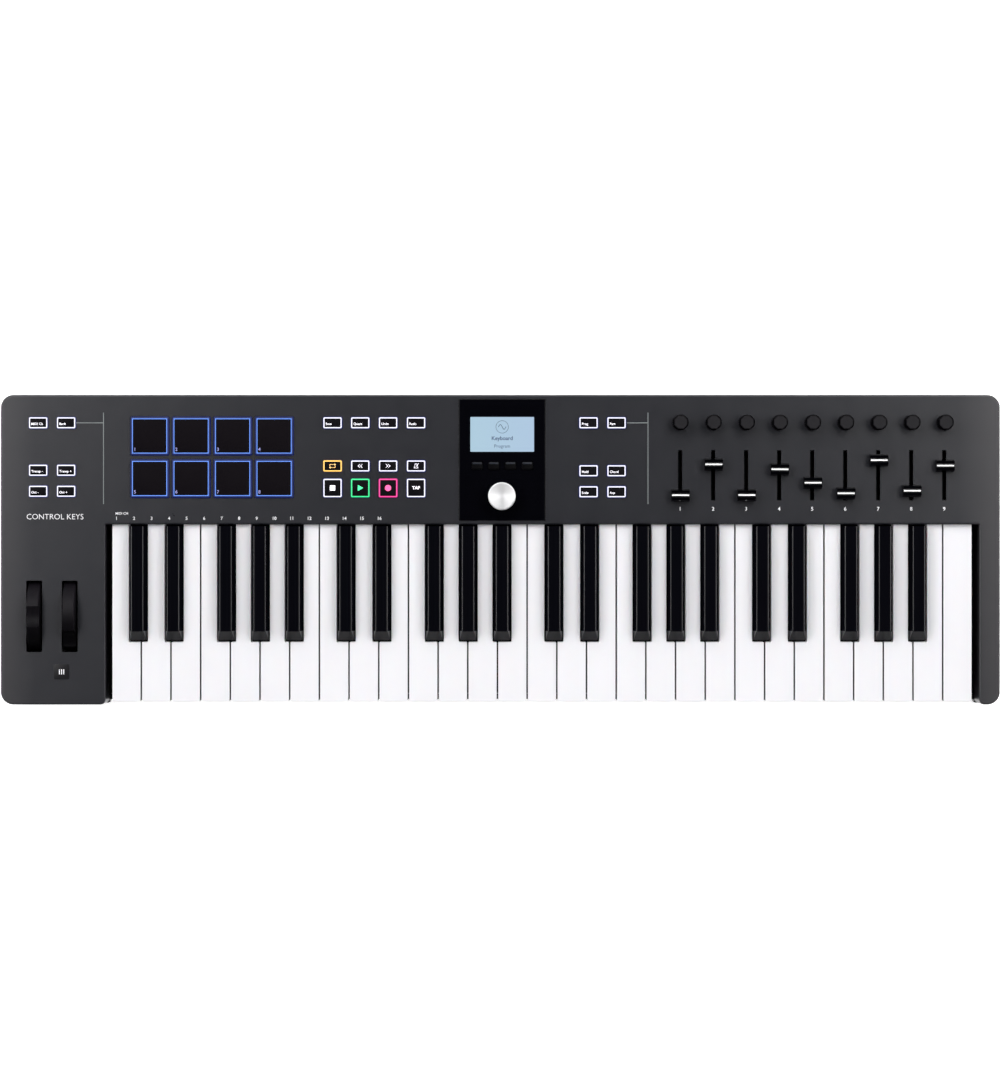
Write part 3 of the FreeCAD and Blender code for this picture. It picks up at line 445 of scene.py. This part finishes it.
MATERIALS = {
    "casing_plastic": casing_plastic(),
    "white_key_plastic": white_key_plastic(),
    "black_key_plastic": black_key_plastic(),
    "bezel_gloss": bezel_gloss(),
    "lcd_glass": lcd_screen(),
    "board": board_material(),
    "pot_metal": pot_case(),
    "socket_plastic": moulded("socket_plastic", (0.012, 0.012, 0.013), 0.45),
    "chassis_plastic": moulded("chassis_plastic", (0.006, 0.006, 0.0065), 0.6, specular=0.2),
    "contact_rubber": moulded("contact_rubber", (0.05, 0.05, 0.052), 0.7),
    "spring_steel": steel("spring_steel", 0.6, 0.25),
    "foot_rubber": moulded("foot_rubber", (0.012, 0.012, 0.012), 0.8, grain=1800.0, depth=0.1),
    "screw_steel": steel("screw_steel", 0.10, 0.4),
    # Painted light: the rear of the wheels is painted paler, the rest painted dark as shade.
    "wheel_rubber": rubber("wheel_rubber", wheel_rear, (0.0016, 0.0014, 0.0020), (0.0056, 0.0046, 0.0064),
                           (0.0070, 0.0058, 0.0080), (0.40, 0.52), (0.04, 0.12)),
    "fader_plastic": moulded("fader_plastic", (0.0008, 0.0008, 0.0014), 0.09, depth=0.008, specular=0.35),
    # Painted light: the flat tops of the knobs are painted paler, their sides painted dark as shade.
    "knob_rubber": rubber("knob_rubber", knob_top, (0.0018, 0.0017, 0.0023), (0.0082, 0.0076, 0.0096),
                          (0.0100, 0.0094, 0.0116), (0.44, 0.56), (0.02, 0.18)),
    "shaft_steel": steel("shaft_steel", 0.6, 0.3),
    "knob_aluminium": turned_aluminium(),
    "pad_silicone": lit_silicone("pad_silicone", PAD_BLUE, PAD_DEEP_BLUE, PAD_LIT_Z, 1.0, PAD_LIT_HALF),
    "button_silicone": lit_silicone("button_silicone", WHITE_GLOW, DEEP_BLUE, BUTTON_LIT_Z, 1.15),
}
for part in frame["record"]["subparts"]:
    data = NODES[part["node"]].data
    data.materials.clear()
    data.materials.append(MATERIALS[part["material_slot"]])

CAP_BLACK = moulded("cap_black", (0.0032, 0.0028, 0.0042), 0.42, depth=0.02, specular=0.06)
PAD_BLACK = moulded("pad_black", (0.0034, 0.0022, 0.0036), 0.6, grain=1500.0, depth=0.06, specular=0.05)
SCREEN_CAP = moulded("screen_cap", (0.0016, 0.0016, 0.0020), 0.4, depth=0.02, specular=0.05)
SCREEN_LIP = moulded("screen_lip", (0.012, 0.015, 0.022), 0.3, depth=0.02)
STICKER = moulded("sticker", (0.0075, 0.0072, 0.0085), 0.35, depth=0.01, specular=0.25)
# The white ink's glow is painted light that brightens the panel print and sticker sign.
WHITE_INK = ink("white_ink", (0.90, 0.90, 0.92), 0.12)
GREY_INK = ink("grey_ink", (0.22, 0.245, 0.245))
LCD_INK = ink("lcd_ink", (0.05, 0.085, 0.17))
PAD_INK = ink("pad_ink", (0.24, 0.24, 0.50), 0.6)
# The fader line's glow is painted light that brightens the line.
LINE_WHITE = ink("line_white", (0.93, 0.93, 0.93), 0.25)
LIT_WHITE = ink("lit_white", (0.95, 0.93, 1.0), 0.85)
LIT_ORANGE = ink("lit_orange", (1.0, 0.62, 0.22), 0.8)
LIT_GREEN = ink("lit_green", (0.06, 0.80, 0.30), 0.9)
LIT_PINK = ink("lit_pink", (1.0, 0.10, 0.30), 0.9)
RIM_YELLOW = lit_silicone("rim_yellow", (0.98, 0.60, 0.14), (0.20, 0.10, 0.0), BUTTON_LIT_Z, 1.0)
RIM_GREEN = lit_silicone("rim_green", (0.04, 0.72, 0.26), (0.0, 0.12, 0.03), BUTTON_LIT_Z, 1.0)
RIM_PINK = lit_silicone("rim_pink", (0.95, 0.055, 0.29), (0.18, 0.0, 0.06), BUTTON_LIT_Z, 1.0)


# ------------------------------------------------------------------ mesh helpers
def new_object(bm, name, material):
    bmesh.ops.recalc_face_normals(bm, faces=bm.faces)
    data = bpy.data.meshes.new(name)
    bm.to_mesh(data)
    bm.free()
    data.materials.append(material)
    piece = bpy.data.objects.new(name, data)
    bpy.context.collection.objects.link(piece)
    return piece


def finish_mesh(bm, name, material, body, smooth=True):
    """Turn bm into a piece that rides on body and has the look of material."""
    piece = new_object(bm, name, material)
    if smooth:
        piece.data.polygons.foreach_set("use_smooth", [True] * len(piece.data.polygons))
        piece.data.set_sharp_from_angle(angle=math.radians(35))
    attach(piece, body)


def rounded_loop(x, y, w, d, r, steps=5):
    """Points round a rectangle, w wide and d deep, with corners of radius r."""
    points = []
    for cx, cy, turn in ((1, 1, 0), (-1, 1, 1), (-1, -1, 2), (1, -1, 3)):
        for i in range(steps + 1):
            angle = math.pi / 2 * (turn + i / steps)
            points.append((x + cx * (w / 2 - r) + r * math.cos(angle),
                           y + cy * (d / 2 - r) + r * math.sin(angle)))
    return points


def disc_points(x, y, r, steps=24):
    return [(x + r * math.cos(2 * math.pi * i / steps), y + r * math.sin(2 * math.pi * i / steps))
            for i in range(steps)]


def stack(bm, loops):
    """Join loops of equal length, each with its height, into a closed solid."""
    rings = [[bm.verts.new((px, py, z)) for px, py in loop] for loop, z in loops]
    count = len(rings[0])
    for low, high in zip(rings, rings[1:]):
        for i in range(count):
            j = (i + 1) % count
            bm.faces.new((low[i], low[j], high[j], high[i]))
    bm.faces.new(rings[0][::-1])
    bm.faces.new(rings[-1])


def cushion(bm, x, y, w, d, r, z0, z1, edge):
    """A rounded block whose top edge is rolled over by edge."""
    loops = [(rounded_loop(x, y, w, d, r), z0)]
    for i in range(4):
        angle = math.pi / 2 * i / 3
        inset = edge * (1 - math.cos(angle))
        z = z1 - edge + edge * math.sin(angle)
        loops.append((rounded_loop(x, y, w - 2 * inset, d - 2 * inset, max(r - inset, 0.05 * MM)), z))
    stack(bm, loops)


def extrude_shape(bm, points, z0, z1):
    stack(bm, [(points, z0), (points, z1)])


def slab(bm, x, y, z):
    """A block between two places on each axis."""
    extrude_shape(bm, [(x[0], y[0]), (x[1], y[0]), (x[1], y[1]), (x[0], y[1])], *z)


def polyline(bm, points, width, z0, z1):
    """A flat stroke along points, as thin solid bars with overlapping ends."""
    for start, end in zip(points, points[1:]):
        start, end = Vector(start), Vector(end)
        run = (end - start).normalized() * width / 2
        side = Vector((-run.y, run.x))
        extrude_shape(bm, [start - run - side, end + run - side, end + run + side, start - run + side],
                      z0, z1)


def around(x, y, points):
    """Points given in millimetres from a centre."""
    return [(x + px * MM, y + py * MM) for px, py in points]


def add_text(bm, words, x, y, z, size, align="CENTER", bold=0.0):
    """Lettering as thin solid letters lying on a surface at height z."""
    curve = bpy.data.curves.new("words", "FONT")
    curve.body = words
    curve.size = size
    curve.align_x = align
    curve.align_y = "CENTER"
    curve.resolution_u = 3
    curve.extrude = PRINT_T / 2
    curve.offset = bold
    holder = bpy.data.objects.new("words", curve)
    letters = bpy.data.meshes.new_from_object(holder)
    letters.transform(Matrix.Translation((x, y, z + PRINT_LIFT + PRINT_T / 2)))
    bm.from_mesh(letters)
    bpy.data.objects.remove(holder)
    bpy.data.meshes.remove(letters)
    bpy.data.curves.remove(curve)


# ------------------------------------------------------------------ print on the panel
def panel_print():
    """Fader numbers, the channel numbers over the keys and two headings."""
    bm = bmesh.new()
    for number, node in enumerate(KNOBS, 1):
        add_text(bm, str(number), middle(node).x, FADER_NUMBER_Y, PANEL_Z, size=4.1 * MM, bold=0.06 * MM)
    for number in range(16):
        x = CHANNEL_X + CHANNEL_PITCH * number
        add_text(bm, str(number + 1), x, CHANNEL_Y, PANEL_Z, size=3.6 * MM, bold=0.04 * MM)
    add_text(bm, "MIDI CH", CHANNEL_X - 0.9 * MM, CHANNEL_Y + 3.9 * MM, PANEL_Z,
             size=2.7 * MM, align="LEFT", bold=0.03 * MM)
    add_text(bm, "CONTROL KEYS", CASE_LOW.x + 20.3 * MM, CHANNEL_Y + 1.2 * MM, PANEL_Z,
             size=6.2 * MM, align="LEFT", bold=-0.05 * MM)
    finish_mesh(bm, "panel_print", WHITE_INK, "casing", smooth=False)


def panel_lines():
    """Thin grey rules beside the left and right button groups."""
    bm = bmesh.new()
    z = (PANEL_Z + PRINT_LIFT, PANEL_Z + PRINT_LIFT + PRINT_T)
    for group, x in RULE_X.items():
        row = spot(*islands(group)[0])[1]
        slab(bm, x, (row - RULE_HALF, row + RULE_HALF), z)
        slab(bm, (x[1] - RULE_HALF, x[1] + RULE_HALF), RULE_Y, [level + OVERLAP for level in z])
    finish_mesh(bm, "panel_lines", GREY_INK, "casing", smooth=False)


def panel_badge():
    """Small dark sticker with a plain three-key sign, below the wheels."""
    x, y = STICKER_AT
    top = PANEL_Z + STICKER_T
    bm = bmesh.new()
    cushion(bm, x, y, STICKER_SIZE, STICKER_SIZE, 0.8 * MM, PANEL_Z - 0.02 * MM, top, 0.05 * MM)
    finish_mesh(bm, "sticker", STICKER, "casing")
    bm = bmesh.new()
    for key in (-1, 0, 1):
        cx = x + key * 1.7 * MM
        slab(bm, (cx - 0.35 * MM, cx + 0.35 * MM), (y - 2 * MM, y + 2 * MM), (top, top + PRINT_T))
    finish_mesh(bm, "sticker_sign", WHITE_INK, "casing", smooth=False)


panel_print()
panel_lines()
panel_badge()


# ------------------------------------------------------------------ buttons
LABELS = {
    "left_buttons": ["MIDI Ch", "Bank", "Transp -", "Transp +", "Oct -", "Oct +"],
    "command_buttons": ["Save", "Quant", "Undo", "Redo"],
    "right_buttons": ["Prog", "Part", "Hold", "Chord", "Scale", "Arp"],
}


def cap_size(low, high, rim=0.0):
    """Width and depth of a button where it shows, less a rim on every side."""
    return [high[axis] - low[axis] - BUTTON_LIPS - 2 * rim for axis in (0, 1)]


def button_tops(group):
    """Black painted tops inside the lit rims of one group."""
    bm = bmesh.new()
    for low, high in islands(group):
        cushion(bm, *spot(low, high), *cap_size(low, high, BUTTON_RIM), 0.5 * MM,
                high.z - CAP_SINK, high.z + CAP_LIFT, CAP_LIFT)
    finish_mesh(bm, group + "_tops", CAP_BLACK, group)


def button_labels(group, words):
    bm = bmesh.new()
    for (low, high), text in zip(islands(group), words):
        x, y = spot(low, high)
        add_text(bm, text, x - 5.4 * MM, y - 0.9 * MM, high.z + CAP_LIFT,
                 size=2.65 * MM, align="LEFT", bold=0.02 * MM)
    finish_mesh(bm, group + "_labels", LIT_WHITE, group, smooth=False)


for group in BUTTON_GROUPS:
    button_tops(group)
for group, words in LABELS.items():
    button_labels(group, words)


# ------------------------------------------------------------------ transport signs
def skip_sign(bm, x, y, z, way):
    """Two chevrons that point left, -1, or right, 1."""
    for step in (-0.9, 0.9):
        points = [(step - way * 0.7, 1.3), (step + way * 0.7, 0.0), (step - way * 0.7, -1.3)]
        polyline(bm, around(x, y, points), 0.34 * MM, *z)


def loop_sign(bm, x, y, z):
    """Two bent arrows that follow each other round."""
    a, b = 2.1, 1.2
    bend = [(-a, -0.2), (-a, b), (a, b)]
    head = [(a + 0.7, b), (a - 0.6, b + 0.9), (a - 0.6, b - 0.9)]
    for way in (1, -1):
        turned_bend, turned_head = [[(way * px, way * py) for px, py in points] for points in (bend, head)]
        polyline(bm, around(x, y, turned_bend), 0.34 * MM, *z)
        extrude_shape(bm, around(x, y, turned_head), *[level + OVERLAP for level in z])


def metronome_sign(bm, x, y, z):
    """A tapered case with its arm swung to the right."""
    case = [(-1.5, -1.6), (1.5, -1.6), (0.7, 1.6), (-0.7, 1.6), (-1.5, -1.6)]
    arm = [(-0.2, -0.8), (2.0, 1.9)]
    polyline(bm, around(x, y, case), 0.3 * MM, *z)
    polyline(bm, around(x, y, arm), 0.3 * MM, *[level + OVERLAP for level in z])


def transport_signs():
    """Loop, skip, metronome, stop, play, record and tap signs."""
    buttons = islands("transport_buttons")
    at = [spot(low, high) for low, high in buttons]
    surface = buttons[0][1].z + CAP_LIFT
    z = (surface + PRINT_LIFT, surface + PRINT_LIFT + PRINT_T)
    play = [(-1.9, -2.4), (2.4, 0.0), (-1.9, 2.4)]

    def sign(name, material, draw):
        bm = bmesh.new()
        draw(bm)
        finish_mesh(bm, name, material, "transport_buttons", smooth=False)

    def white_signs(bm):
        skip_sign(bm, *at[1], z, -1)
        skip_sign(bm, *at[2], z, 1)
        metronome_sign(bm, *at[3], z)
        extrude_shape(bm, rounded_loop(*at[4], 4.2 * MM, 4.2 * MM, 0.3 * MM), *z)
        add_text(bm, "TAP", *at[7], surface, size=3.4 * MM, bold=0.1 * MM)

    sign("loop_sign", LIT_ORANGE, lambda bm: loop_sign(bm, *at[0], z))
    sign("play_sign", LIT_GREEN, lambda bm: extrude_shape(bm, around(*at[5], play), *z))
    sign("record_sign", LIT_PINK, lambda bm: extrude_shape(bm, disc_points(*at[6], 2.45 * MM), *z))
    sign("transport_white_signs", LIT_WHITE, white_signs)


def transport_rims():
    """Coloured rims of the loop, play and record buttons, over the white-lit silicone."""
    buttons = islands("transport_buttons")
    cover = 0.06 * MM
    for index, name, material in ((0, "loop_rim", RIM_YELLOW), (5, "play_rim", RIM_GREEN),
                                  (6, "record_rim", RIM_PINK)):
        low, high = buttons[index]
        bm = bmesh.new()
        cushion(bm, *spot(low, high), *cap_size(low, high, -cover), 1.36 * MM,
                PANEL_Z - 0.6 * MM, high.z + cover, 0.72 * MM)
        finish_mesh(bm, name, material, "transport_buttons")


transport_signs()
transport_rims()


# ------------------------------------------------------------------ pads
def pad_top(number, node):
    """Black rubber playing face inside the lit edge, with its number."""
    low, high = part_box(node)
    x, y = spot(low, high)
    bm = bmesh.new()
    cushion(bm, x, y, PAD_FACE, PAD_FACE, 0.7 * MM, high.z - CAP_SINK, high.z + PAD_FACE_LIFT, PAD_FACE_LIFT)
    finish_mesh(bm, node + "_face", PAD_BLACK, node)
    bm = bmesh.new()
    add_text(bm, str(number), x - 11.6 * MM, y - 10.7 * MM, high.z + PAD_FACE_LIFT,
             size=3.6 * MM, bold=0.06 * MM)
    finish_mesh(bm, node + "_number", PAD_INK, node, smooth=False)


for number, node in enumerate(PADS, 1):
    pad_top(number, node)


# ------------------------------------------------------------------ faders
def fader_line(node):
    """White pointer line across the valley of a fader cap."""
    low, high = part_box(node)
    bm = bmesh.new()
    cushion(bm, *spot(low, high), *FADER_LINE, 0.4 * MM, high.z - 1.2 * MM, high.z - 0.45 * MM, 0.25 * MM)
    finish_mesh(bm, node + "_line", LINE_WHITE, node)


for node in FADERS:
    fader_line(node)


# ------------------------------------------------------------------ display
def screen_picture():
    """A round sign with a plain wave in it and two lines of generic words."""
    bm = bmesh.new()
    x, y, _ = middle("lcd_module")
    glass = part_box("lcd_module")[1].z
    z = (glass + PRINT_LIFT, glass + PRINT_LIFT + 0.03 * MM)
    ring_y = y + 5.9 * MM
    ring = disc_points(x, ring_y, 4.9 * MM, 40)
    polyline(bm, ring + ring[:1], 0.3 * MM, *z)
    turns = [i / 8 for i in range(17)]
    wave = [(x + (turn - 1) * 2.9 * MM, ring_y + 1.9 * MM * math.sin(turn * math.pi)) for turn in turns]
    polyline(bm, wave, 0.4 * MM, *z)
    add_text(bm, "Keyboard", x, y - 3.2 * MM, glass, size=4.3 * MM, bold=0.08 * MM)
    add_text(bm, "Program", x, y - 9.4 * MM, glass, size=3.7 * MM)
    finish_mesh(bm, "screen_picture", LCD_INK, "casing", smooth=False)


def screen_button_tops():
    """Rounded dark caps of the four buttons under the screen, with a raised lighter rear lip."""
    caps, lips = bmesh.new(), bmesh.new()
    lift, lip_depth = 0.15 * MM, 1.4 * MM
    for low, high in islands("screen_buttons"):
        x, y = spot(low, high)
        w, d = cap_size(low, high)
        cushion(caps, x, y, *cap_size(low, high, 0.25 * MM), 0.9 * MM, high.z - CAP_SINK, high.z + lift, lift)
        cushion(lips, x, y + d / 2 - 1.2 * MM, w - 1.4 * MM, lip_depth, 0.5 * MM,
                high.z, high.z + 0.5 * MM, 0.3 * MM)
    finish_mesh(caps, "screen_button_tops", SCREEN_CAP, "screen_buttons")
    finish_mesh(lips, "screen_button_lips", SCREEN_LIP, "screen_buttons")


screen_picture()
screen_button_tops()
NODES["screen_buttons"].data.materials[0] = SCREEN_CAP

# ------------------------------------------------------------------ lights, floor, camera
CAMERA_AT = (-0.28 * MM, 7.7 * MM, 3.047)
CAMERA_LENS = 126.3
FLOOR_HALF = 6.0
FLOOR_Z = (-0.02, -0.0002)
# For each lamp its place, its size, its power and its colour.
LIGHTS = {
    "left_box": ((-0.96, 0.50, 1.65), (1.5, 0.8), 19.0, (1.0, 0.99, 1.0)),
    "right_box": ((0.96, 0.50, 1.65), (1.5, 0.8), 19.0, (1.0, 0.99, 0.99)),
    "rear_box": ((0.0, 1.45, 1.5), (1.8, 0.7), 14.0, (1.0, 1.0, 1.0)),
    "front_fill": ((0.0, -2.0, 2.2), (2.2, 0.8), 3.0, (1.0, 1.0, 1.0)),
}


def area_light(name, place, size, power, colour):
    """A rectangular lamp that faces the middle of the floor."""
    data = bpy.data.lights.new(name, "AREA")
    data.shape = "RECTANGLE"
    data.size, data.size_y = size
    data.energy = power
    data.color = colour
    lamp = bpy.data.objects.new(name, data)
    lamp.location = place
    lamp.rotation_euler = (-Vector(place)).to_track_quat("-Z", "Y").to_euler()
    bpy.context.collection.objects.link(lamp)


def world_light():
    """Pale all round and dark overhead, as in a studio with its boxes at the sides."""
    n = Nodes("studio", "worlds", "Background")
    _, y, z = n.add("SeparateXYZ", Vector=n.add("TexCoord").outputs["Generated"]).outputs
    height = n.add("MapRange", Value=z, From_Min=0.25, From_Max=0.80, To_Min=0.78, To_Max=0.0).outputs[0]
    rear = n.add("MapRange", Value=y, From_Min=-0.7, From_Max=0.3, To_Min=0.35, To_Max=1.0).outputs[0]
    n.set(Color=(0.97, 0.98, 1.0, 1.0), Strength=n.math("MULTIPLY", height, rear))
    bpy.context.scene.world = n.owner


def studio_floor():
    n = Nodes("floor")
    n.set(Base_Color=n.blend(n.noise(0.7), grey(0.93), grey(0.95)), Roughness=0.9,
          Emission_Color=grey(1.0), Emission_Strength=0.85)
    bm = bmesh.new()
    slab(bm, (-FLOOR_HALF, FLOOR_HALF), (-FLOOR_HALF, FLOOR_HALF), FLOOR_Z)
    floor = new_object(bm, "floor", n.owner)


def camera_above():
    data = bpy.data.cameras.new("camera")
    data.lens = CAMERA_LENS
    camera = bpy.data.objects.new("camera", data)
    camera.location = CAMERA_AT
    bpy.context.collection.objects.link(camera)
    bpy.context.scene.camera = camera


for name, settings in LIGHTS.items():
    area_light(name, *settings)
world_light()
studio_floor()
camera_above()
bpy.context.scene.view_settings.view_transform = "Standard"
